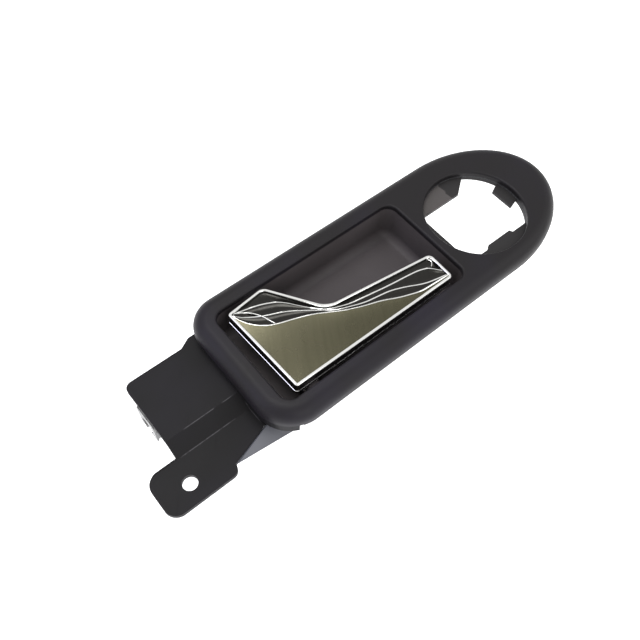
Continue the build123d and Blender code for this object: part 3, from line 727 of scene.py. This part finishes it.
@dataclass
class LeverFace:
    """The chrome pull: a bright rolled rim round a panel with scooped folds above it; the bright rim and
    crests are painted highlights, the dark olive panel a painted reflection and the scoops painted shade.

    Its measures are in millimetres.
    """

    corners: List[Flat] = field(default_factory=lambda: [
        (48.4, 41.8), (67.4, 43.6), (83.0, 20.2), (134.4, 13.2), (134.0, -1.6), (50.2, -1.0)])
    radii: List[float] = field(default_factory=lambda: [1.6, 4.0, 9.0, 3.0, 2.0, 1.6])
    top_z: float = 21.5
    depth: float = 6.0
    wall: float = 1.5
    rim: float = 1.5
    shoulder: float = 0.75
    lip: float = 1.2
    lip_step: float = 0.16
    lip_slope: float = 0.10
    ceiling_gap: float = 0.15
    roll: List[Flat] = field(default_factory=lambda: [
        (0.06, 0.32), (0.12, 0.25), (0.21, 0.18), (0.70, 0.0), (0.15, -0.15), (0.1, -0.35), (0.05, -0.7)])
    fold_levels: List[float] = field(default_factory=lambda: [0.0, 0.30, 0.05, -0.15, -0.6])
    scoop_slopes: List[float] = field(default_factory=lambda: [0.12, 0.12, 0.075])
    widest_scoop: float = 6.0
    panel_sag: float = 0.18
    panel_width: float = 12.0
    left_lean: float = 1.8
    main_fold: List[Flat] = field(default_factory=lambda: [
        (49.9, 39.6), (51.0, 35.4), (53.0, 32.1), (56.3, 28.6), (61.0, 26.0), (66.9, 24.1), (75.7, 20.7),
        (80.2, 18.2), (85.4, 15.0), (94.1, 11.1), (102.5, 8.2), (108.8, 4.9), (118.0, 1.6), (133.6, 0.6)])
    middle_fold: List[Flat] = field(default_factory=lambda: [
        (49.9, 40.2), (52.0, 37.4), (55.1, 35.0), (59.4, 32.4), (67.9, 28.7), (76.5, 22.7), (84.4, 16.6),
        (96.1, 12.0), (108.3, 9.9), (114.5, 7.4), (121.8, 3.6), (127.0, 2.2), (133.6, 0.9)])
    upper_fold: List[Flat] = field(default_factory=lambda: [
        (49.9, 40.9), (52.8, 40.2), (62.1, 37.6), (69.3, 33.9), (74.2, 27.2), (79.3, 21.2), (82.9, 18.6),
        (91.2, 15.4), (109.1, 12.3), (120.0, 10.9), (125.4, 10.0), (130.7, 7.6), (133.6, 1.3)])
    cross_folds: List[List[Flat]] = field(default_factory=lambda: [
        [(51.0, 40.6), (54.6, 38.6), (57.8, 35.4), (59.8, 31.6), (61.2, 27.2), (61.8, 25.6)],
        [(131.4, 11.9), (132.3, 10.9), (132.0, 9.4), (130.4, 8.2)]])
    columns: int = 300

    def build(self) -> bpy.types.Object:
        """Builds the rim, the sculpted face and the short cross fold, and joins them.

        Returns:
            The piece.
        """
        # One chrome in four copies: the bright one paints highlights, the others paint reflection and shade.
        chrome_copies = [BRIGHT.material(), SATIN.material(), HOLLOW.material(), FLANK.material()]
        rim = self._rim()
        face = self._face()
        ribs = [self._cross_fold(points) for points in self.cross_folds]
        for part in (rim, face, *ribs):
            for finish in chrome_copies:
                part.data.materials.append(finish)
        piece = Bench.join([rim, face, *ribs])
        Bench.finish(piece, "lever_chrome", [])
        Bench.smooth(piece, 24.0)
        place_piece(piece, "lever_cover")
        return piece

    def _outline(self, z: float) -> bpy.types.Object:
        """Draws the lever's outline as one face.

        Args:
            z: Its height in millimetres.

        Returns:
            The flat piece.
        """
        Bench.clear()
        first = self.corners[0]
        bpy.ops.mesh.primitive_plane_add(size=MM, location=(first[0] * MM, first[1] * MM, z * MM))
        piece = bpy.context.object
        Bench.hold(piece)
        bpy.ops.object.transform_apply(location=True, rotation=True, scale=True)
        Bench.edit(piece, "VERT")
        bpy.ops.mesh.select_all(action="SELECT")
        bpy.ops.mesh.merge(type="CENTER")
        here = first
        for corner in self.corners[1:]:
            step = ((corner[0] - here[0]) * MM, (corner[1] - here[1]) * MM, 0.0)
            bpy.ops.mesh.extrude_vertices_move(TRANSFORM_OT_translate={"value": step})
            here = corner
        bpy.ops.mesh.select_all(action="SELECT")
        bpy.ops.mesh.edge_face_add()
        count = len(self.corners)
        for index, (corner, radius) in enumerate(zip(self.corners, self.radii)):
            before = Vector(self.corners[index - 1]) - Vector(corner)
            after = Vector(self.corners[(index + 1) % count]) - Vector(corner)
            reach = radius / math.tan(before.angle(after) / 2)
            bpy.ops.mesh.select_all(action="DESELECT")
            spot = Vector((corner[0] * MM, corner[1] * MM, z * MM))
            Bench.pick(piece, "verts", lambda v, spot=spot: (v.co - spot).length < 1e-6)
            bpy.ops.mesh.bevel(offset=reach * MM, segments=10, affect="VERTICES", clamp_overlap=False)
        Bench.close()
        if piece.data.polygons[0].normal.z < 0:
            Bench.edit(piece, "FACE")
            bpy.ops.mesh.select_all(action="SELECT")
            bpy.ops.mesh.flip_normals()
            Bench.close()
        return piece

    def _rim(self) -> bpy.types.Object:
        """Raises the outline into the flank and the rolled rim.

        Returns:
            The rim, open in the middle.
        """
        piece = self._outline(self.top_z - self.depth)
        Bench.edit(piece, "FACE")
        bpy.ops.mesh.select_all(action="SELECT")
        bpy.ops.mesh.extrude_region_move(TRANSFORM_OT_translate={"value": (0, 0, self.lip * MM)})
        bpy.ops.mesh.inset(thickness=self.lip_step * MM, depth=self.lip_slope * MM, use_even_offset=True)
        wall_height = (self.depth - self.shoulder - self.lip - self.lip_slope) * MM
        bpy.ops.mesh.extrude_region_move(TRANSFORM_OT_translate={"value": (0, 0, wall_height)})
        for across, rise in self.roll:
            bpy.ops.mesh.inset(thickness=across * MM, depth=rise * MM, use_even_offset=True)
        bpy.ops.mesh.delete(type="FACE")
        # the back is a hollow shell, as moulded
        bpy.ops.mesh.select_all(action="DESELECT")
        low = self.top_z - self.depth
        Bench.pick(piece, "faces", lambda f: (
            abs(f.normal.z) > 0.9 and abs(f.calc_center_median().z - low * MM) < 1e-5))
        bpy.ops.mesh.inset(thickness=self.wall * MM, depth=0.0, use_even_offset=True)
        bpy.ops.mesh.extrude_region_move(
            TRANSFORM_OT_translate={"value": (0, 0, (self.depth - self.wall - self.ceiling_gap) * MM)})
        bpy.ops.mesh.select_all(action="SELECT")
        Bench.close()
        lip_low = (low + 0.75 * self.lip) * MM
        lip_top = (low + self.lip + self.lip_slope) * MM
        flank_top = (self.top_z - self.shoulder) * MM
        # The rim's top and the lip at its foot take the bright copy as painted highlights; the flank between
        # takes the dark streaked copy as a painted reflection.
        for polygon in piece.data.polygons:
            z = polygon.center.z
            bright = z > flank_top - 1e-5 or lip_low < z < lip_top
            polygon.material_index = Plating.BRIGHT.value if bright else Plating.FLANK.value
        return piece

    def _edge_heights(self, x: float) -> Flat:
        """The face's lower and upper edges at a place along the lever, inside the rim.

        Args:
            x: The place, in millimetres.

        Returns:
            The two edges' Y, in millimetres.
        """
        inset = self.rim - 0.15
        low_left, low_right = self.corners[5], self.corners[4]
        share = (x - low_left[0]) / (low_right[0] - low_left[0])
        low = low_left[1] + share * (low_right[1] - low_left[1]) + inset
        top = self._along(self._top_line(), x)
        return low, top

    def _top_line(self) -> List[Flat]:
        """The upper edge inside the rim, as a line of points in millimetres."""
        return [(48.0, 40.9), (65.9, 42.35), (67.3, 41.6), (68.3, 40.2), (77.2, 26.7), (79.4, 23.6),
                (81.2, 21.4), (83.2, 19.9), (86.0, 18.75), (131.0, 12.45), (132.4, 11.8), (133.2, 10.7),
                (134.2, 9.0)]

    @staticmethod
    def _along(line: Sequence[Flat], x: float) -> float:
        """Reads a line at a place, smoothly.

        Args:
            line: Points with rising X.
            x: The place.

        Returns:
            The line's Y there.
        """
        if x <= line[0][0]:
            return line[0][1]
        for (x0, y0), (x1, y1) in zip(line, line[1:]):
            if x <= x1:
                return y0 + (y1 - y0) * (x - x0) / (x1 - x0)
        return line[-1][1]

    def _fold(self, line: Sequence[Flat], x: float) -> float:
        """Reads a fold at a place, averaged over a short stretch so that it flows.

        Args:
            line: The fold's points.
            x: The place.

        Returns:
            The fold's Y there.
        """
        spread = min(2.4, max(0.3, 0.45 * (x - 49.0)))
        offsets = [-1.0, -0.6, -0.2, 0.2, 0.6, 1.0]
        return sum(self._along(line, x + spread * part) for part in offsets) / len(offsets)

    def _face(self) -> bpy.types.Object:
        """Sculpts the face inside the rim: a panel, the main fold and two scoops.

        Returns:
            The face.
        """
        crest = 0.28
        bands = [26, 14, 14, 14]
        rows = sum(bands)
        left, right = 49.8, 132.8
        Bench.clear()
        bpy.ops.mesh.primitive_grid_add(
            x_subdivisions=self.columns, y_subdivisions=rows, size=1.0, location=(0.5, 0.5, 0.0))
        piece = bpy.context.object
        Bench.hold(piece)
        bpy.ops.object.transform_apply(location=True, rotation=True, scale=True)
        levels = self._levels(bands, crest)
        sections: Dict[int, List[float]] = {}
        for vertex in piece.data.vertices:
            column = round(vertex.co.x * self.columns)
            row = round(vertex.co.y * rows)
            x = left + (right - left) * column / self.columns
            if column not in sections:
                sections[column] = self._section(x)
            marks = sections[column]
            band, share, near = levels[row]
            gap = marks[band + 1] - marks[band]
            if near < 0:
                share = min(0.4, crest / max(gap, 0.01)) * share
            elif near > 0:
                share = 1.0 - min(0.4, crest / max(gap, 0.01)) * (1.0 - share)
            y = marks[band] + gap * share
            lean = self.left_lean * (1.0 - y / self.corners[0][1]) * (1.0 - column / self.columns) ** 4
            vertex.co = Vector((x + lean, y, self._height(band, share, gap))) * MM
        self._paint_bands(piece, bands)
        return piece

    @staticmethod
    def _levels(bands: Sequence[int], crest: float) -> List[Tuple[int, float, int]]:
        """Shares out the grid's rows over the bands between folds.

        Args:
            bands: Rows in each band.
            crest: Half the width of a fold's bright crest.

        Returns:
            For each row its band, its share of the band, and -1 or 1 where it lies on a crest.
        """
        levels: List[Tuple[int, float, int]] = []
        for band, count in enumerate(bands):
            for step in range(count):
                after = step == 1 and band > 0
                before = step == count - 1 and band < len(bands) - 1
                near = -1 if after else (1 if before else 0)
                share = 1.0 if near == -1 else (0.0 if near == 1 else step / count)
                levels.append((band, share, near))
        levels.append((len(bands) - 1, 1.0, 0))
        return levels

    def _section(self, x: float) -> List[float]:
        """The face's marks across the lever at a place.

        Args:
            x: The place, in millimetres.

        Returns:
            The lower edge, the main, middle and upper folds and the upper edge, in millimetres.
        """
        low, top = self._edge_heights(x)
        least = 0.12
        main = min(max(self._fold(self.main_fold, x), low + least), top - 3 * least)
        middle = min(max(self._fold(self.middle_fold, x), main + least), top - 2 * least)
        upper = min(max(self._fold(self.upper_fold, x), middle + least), top - least)
        return [low, main, middle, upper, top]

    def _height(self, band: int, share: float, gap: float) -> float:
        """The face's height.

        Args:
            band: 0 for the panel, then the scoops from the main fold upwards.
            share: Place across the band, 0 to 1.
            gap: The band's width in millimetres.

        Returns:
            The height in millimetres.
        """
        brim = self.top_z - self.shoulder
        start, end = self.fold_levels[band], self.fold_levels[band + 1]
        if band == 0:
            bow = self.panel_sag * math.sin(math.pi * share) * min(gap / self.panel_width, 1.0)
            return brim + start + (end - start) * share ** 4 - bow
        sag = self.scoop_slopes[band - 1] * min(gap, self.widest_scoop)
        return brim + start + (end - start) * share - sag * 4 * share * (1 - share)

    def _paint_bands(self, piece: bpy.types.Object, bands: Sequence[int]) -> None:
        """Gives the crests the bright copy as painted highlight lines, the panel the dark olive copy as a
        painted reflection and the scoops the darker copy as painted shade.

        Args:
            piece: The face.
            bands: Rows in each band.
        """
        crest_rows = set()
        edge = 0
        for count in bands[:-1]:
            edge += count
            crest_rows.update((edge - 1, edge))
        for polygon in piece.data.polygons:
            row = min(polygon.vertices) // (self.columns + 1)
            plating = Plating.SATIN if row < bands[0] else Plating.HOLLOW
            polygon.material_index = Plating.BRIGHT.value if row in crest_rows else plating.value

    def _cross_fold(self, points: Sequence[Flat]) -> bpy.types.Object:
        """A short fold that crosses the scoops near one of the lever's tips.

        Args:
            points: The fold's control points, in millimetres.

        Returns:
            A thin raised line.
        """
        # The line's faces keep the first material, the bright chrome copy, so it shows as a painted
        # highlight.
        z = self.top_z - 0.95
        Bench.clear()
        bpy.ops.curve.primitive_bezier_curve_add(location=(0, 0, 0))
        piece = bpy.context.object
        piece.data.dimensions = "3D"
        piece.data.splines.clear()
        spline = piece.data.splines.new("NURBS")
        spline.points.add(len(points) - 1)
        for point, (x, y) in zip(spline.points, points):
            point.co = (x * MM, y * MM, z * MM, 1.0)
        spline.order_u = 3
        spline.use_endpoint_u = True
        piece.data.bevel_depth = 0.24 * MM
        piece.data.bevel_resolution = 2
        piece.data.resolution_u = 10
        piece.data.use_fill_caps = True
        Bench.hold(piece)
        bpy.ops.object.convert(target="MESH")
        return bpy.context.object


# ---------------------------------------------------------------- spring


@dataclass
class ReturnSpring:
    """Torsion coil about the pivot pin, with two straight legs. Its measures are in millimetres."""

    axis_x: float = 58.3
    axis_z: float = 11.5
    radius: float = 4.2
    wire: float = 0.65
    low_y: float = 13.5
    pitch: float = 1.8
    turns: int = 6
    low_leg: float = -6.0
    high_leg: float = 9.0

    def build(self) -> bpy.types.Object:
        """Winds the coil and adds its legs.

        Returns:
            The piece.
        """
        start = (self.axis_x, self.low_y, self.axis_z + self.radius)
        Bench.clear()
        bpy.ops.mesh.primitive_circle_add(
            vertices=12, radius=self.wire * MM, fill_type="NOTHING",
            location=tuple(value * MM for value in start), rotation=(0.0, math.radians(90.0), 0.0))
        piece = bpy.context.object
        Bench.hold(piece)
        bpy.ops.object.transform_apply(location=False, rotation=True, scale=True)
        bpy.context.scene.cursor.location = (self.axis_x * MM, self.low_y * MM, self.axis_z * MM)
        bpy.ops.object.origin_set(type="ORIGIN_CURSOR")
        Bench.apply(
            piece, "SCREW", axis="Y", angle=math.tau, screw_offset=self.pitch * MM, iterations=self.turns,
            steps=40, render_steps=40, use_merge_vertices=True, use_smooth_shade=True)
        bpy.context.scene.cursor.location = (0.0, 0.0, 0.0)
        Bench.finish(piece, "return_spring_coil", [])
        self._draw_legs(piece)
        Bench.edit(piece, "FACE")
        bpy.ops.mesh.select_all(action="SELECT")
        bpy.ops.mesh.remove_doubles(threshold=1e-6)
        bpy.ops.mesh.normals_make_consistent(inside=False)
        Bench.close()
        piece.data.materials.append(SPRING.material())
        Bench.smooth(piece, 60.0)
        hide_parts("return_spring")
        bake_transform(piece)
        LOG.info("return spring, %d faces", len(piece.data.polygons))
        return piece

    def _draw_legs(self, piece: bpy.types.Object) -> None:
        """Extrudes the coil's two open ends into straight legs.

        Args:
            piece: The coil.
        """
        high_y = self.low_y + self.pitch * self.turns
        for end_y, reach in ((self.low_y, self.low_leg), (high_y, self.high_leg)):
            Bench.edit(piece, "EDGE")
            Bench.pick(piece, "edges", lambda e, end_y=end_y: e.is_boundary and all(
                abs(v.co.y - end_y * MM) < 0.9 * self.wire * MM + 1e-4 for v in e.verts))
            bpy.ops.mesh.extrude_region_move(TRANSFORM_OT_translate={"value": (reach * MM, 0.0, 0.0)})
            bpy.ops.mesh.fill()
            Bench.close()


# ---------------------------------------------------------------- studio


@dataclass
class Studio:
    """Camera, pale floor and soft lights. Angles are in degrees."""

    camera_at: Point = (-0.0253, -0.0922, 0.2654)
    look_down: float = 58.64
    orbit: float = 43.0
    roll: float = 4.07
    lens: float = 40.2

    def build(self) -> None:
        """Sets up the camera, the floor, the world and the lights."""
        bpy.context.scene.view_settings.view_transform = "Standard"
        self._camera()
        self._floor()
        self._world()
        self._lights()

    def _camera(self) -> None:
        """Places the camera."""
        data = bpy.data.cameras.new("camera")
        data.lens = self.lens
        data.sensor_width = 36.0
        data.clip_start = 0.005
        camera = bpy.data.objects.new("camera", data)
        bpy.context.scene.collection.objects.link(camera)
        turn = (Matrix.Rotation(math.radians(-self.orbit), 4, "Z")
                @ Matrix.Rotation(math.radians(90.0 - self.look_down), 4, "X")
                @ Matrix.Rotation(math.radians(self.roll), 4, "Z"))
        camera.matrix_world = Matrix.Translation(Vector(self.camera_at)) @ turn
        bpy.context.scene.camera = camera

    def _floor(self) -> None:
        """Lays a plain pale floor under the handle."""
        Bench.clear()
        low = CAD_BOUNDS[0][2] - 0.12
        bpy.ops.mesh.primitive_plane_add(size=12.0, location=(0.1, 0.0, low))
        floor = bpy.context.object
        Bench.finish(floor, "floor", [])
        board = Board("pale_floor")
        mottle = board.noise(3.0, 2.0)
        colour = board.blend(mottle, (0.93, 0.93, 0.93), (0.95, 0.95, 0.95))
        floor.data.materials.append(board.surface(
            base_color=colour, roughness=0.9, emission_color=(1.0, 1.0, 1.0), emission_strength=0.55))

    def _world(self) -> None:
        """Fills the room with soft white light."""
        world = bpy.data.worlds.new("room")
        world.use_nodes = True
        world.node_tree.nodes["Background"].inputs["Color"].default_value = (1.0, 1.0, 1.0, 1.0)
        world.node_tree.nodes["Background"].inputs["Strength"].default_value = 0.85
        bpy.context.scene.world = world

    def _lights(self) -> None:
        """Hangs the softboxes."""
        middle = (Vector(CAD_BOUNDS[0]) + Vector(CAD_BOUNDS[1])) / 2
        for name, offset, size, power, tint in (
            ("key", Vector((-0.10, 0.20, 0.85)), 0.5, 4.0, (1.0, 1.0, 1.0)),
            ("fill", Vector((0.6, -0.5, 0.6)), 0.6, 1.5, (1.0, 1.0, 1.0)),
            ("window", Vector((-0.75, 0.25, 0.45)), 0.5, 1.6, (0.72, 0.73, 1.0)),
            ("front", Vector((-0.10, -0.95, 0.50)), 0.7, 3.2, (1.0, 1.0, 1.0)),
        ):
            data = bpy.data.lights.new(name, "AREA")
            data.size = size
            data.energy = power
            data.color = tint
            light = bpy.data.objects.new(name, data)
            light.location = middle + offset
            light.rotation_euler = (-offset).to_track_quat("-Z", "Y").to_euler()
            bpy.context.scene.collection.objects.link(light)


def dress_plain_nodes(done: Sequence[str]) -> None:
    """Gives every CAD node that keeps its own shape its finish.

    Args:
        done: Nodes that a built piece stands for.
    """
    made: Dict[str, bpy.types.Material] = {}
    for name, node in frame["nodes"].items():
        if name in done:
            continue
        slot = NODE_SLOT[name]
        if slot not in made:
            made[slot] = finish_of(name).material()
        node.data.materials.clear()
        node.data.materials.append(made[slot])
        LOG.info("%s dressed in %s", name, slot)


def main() -> None:
    """Builds the scene in order: studio, mouldings, lever, spring and the plain nodes."""
    logging.basicConfig(level=logging.INFO, format="%(name)s: %(message)s")
    Studio().build()
    softened = [
        SoftenedMoulding("bezel", 0.0),
        SoftenedMoulding("carrier", 0.22 * MM),
        SoftenedMoulding("finger_bowl", 0.2 * MM),
        SoftenedMoulding("side_guard", 0.15 * MM),
        SoftenedMoulding("switch_frame", 0.12 * MM),
        SoftenedMoulding("conduit_socket", 0.3 * MM),
        SoftenedMoulding("cable_clip", 0.12 * MM),
        SoftenedMoulding("lever_core", 0.2 * MM),
    ]
    for moulding in softened:
        moulding.build()
    LeverFace().build()
    ReturnSpring().build()
    dress_plain_nodes([moulding.node for moulding in softened] + ["lever_cover", "return_spring"])
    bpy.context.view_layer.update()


if __name__ == "__main__":
    main()
